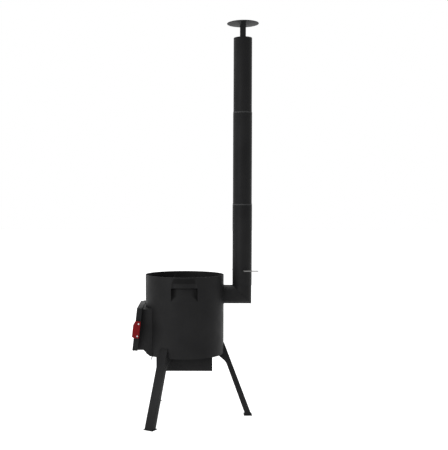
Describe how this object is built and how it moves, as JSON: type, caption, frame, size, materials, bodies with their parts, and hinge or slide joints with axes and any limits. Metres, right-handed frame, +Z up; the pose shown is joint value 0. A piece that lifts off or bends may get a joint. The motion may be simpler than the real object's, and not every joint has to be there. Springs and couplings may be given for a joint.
{
  "type": "cauldron stove",
  "caption": "Free-standing black steel stove for a round-bottomed cauldron: open drum on splayed legs, tilted firing door, ash drawer, elbow, stacked chimney with damper and rain cap.",
  "frame": {"origin": "on the floor, below the middle of the overall outline", "axes": "+Z up; +X towards the chimney, so the firing door is at -X; -Y is the side with the damper handle and the door grip, which faces the camera"},
  "size_m": [0.6332, 0.626, 1.9942],
  "materials": {
    "black_heat_paint": "black heat-resistant paint, satin, slightly grained",
    "zinc_plated_steel": "zinc plated, bright",
    "bare_steel_rod": "bare round bar, heat-darkened",
    "cast_iron": "as cast, matt dark grey",
    "red_plastic": "moulded dark red heat-resistant plastic, fine grain"
  },
  "bodies": {
    "stove": {"body_shell": "black_heat_paint", "body_floor": "black_heat_paint", "neck_wall_near": "black_heat_paint", "neck_wall_far": "black_heat_paint", "neck_roof": "black_heat_paint", "neck_ramp": "black_heat_paint", "door_frame": "black_heat_paint", "hinge_bracket_upper": "black_heat_paint", "hinge_bracket_lower": "black_heat_paint", "hinge_eye_upper": "black_heat_paint", "hinge_eye_lower": "black_heat_paint", "hinge_pin_upper": "zinc_plated_steel", "hinge_pin_lower": "zinc_plated_steel", "ash_box": "black_heat_paint", "leg_rear": "black_heat_paint", "leg_near": "black_heat_paint", "leg_far": "black_heat_paint", "foot_rear": "black_heat_paint", "foot_near": "black_heat_paint", "foot_far": "black_heat_paint", "flue_stub": "black_heat_paint", "flue_riser": "black_heat_paint"},
    "door": {"door_pan": "black_heat_paint", "door_eye_upper": "black_heat_paint", "door_eye_lower": "black_heat_paint", "door_grip": "red_plastic", "grip_screws": "zinc_plated_steel"},
    "ash_drawer": {"ash_drawer_tray": "black_heat_paint", "ash_drawer_front": "black_heat_paint", "ash_drawer_bail": "zinc_plated_steel"},
    "grate": {"grate": "cast_iron"},
    "lower_pipe": {"chimney_pipe_lower": "black_heat_paint", "damper_stop_rivet": "black_heat_paint"},
    "middle_pipe": {"chimney_pipe_middle": "black_heat_paint"},
    "upper_pipe": {"chimney_pipe_upper": "black_heat_paint", "cap_disc": "black_heat_paint", "cap_strap_front": "black_heat_paint", "cap_strap_rear": "black_heat_paint"},
    "damper": {"damper_disc": "black_heat_paint", "damper_rod": "bare_steel_rod"}
  },
  "joints": [
    {"name": "door_hinge", "type": "hinge", "parent": "stove", "child": "door", "pos_m": [-0.28386, 0.1574, 0.46394], "axis": [-0.1132, 0, -0.9936], "range_deg": [0, 150]},
    {"name": "drawer_slide", "type": "slide", "parent": "stove", "child": "ash_drawer", "axis": [-1, 0, 0], "range_m": [0, 0.2]},
    {"name": "grate_lift", "type": "slide", "parent": "stove", "child": "grate", "axis": [0, 0, 1], "range_m": [0, 0.4]},
    {"name": "lower_pipe_lift", "type": "slide", "parent": "stove", "child": "lower_pipe", "axis": [0, 0, 1], "range_m": [0, 0.06]},
    {"name": "middle_pipe_lift", "type": "slide", "parent": "lower_pipe", "child": "middle_pipe", "axis": [0, 0, 1], "range_m": [0, 0.06]},
    {"name": "upper_pipe_lift", "type": "slide", "parent": "middle_pipe", "child": "upper_pipe", "axis": [0, 0, 1], "range_m": [0, 0.06]},
    {"name": "damper_turn", "type": "hinge", "parent": "lower_pipe", "child": "damper", "pos_m": [0.23657, 0, 0.7475], "axis": [0, -1, 0], "range_deg": [0, 90]}
  ]
}
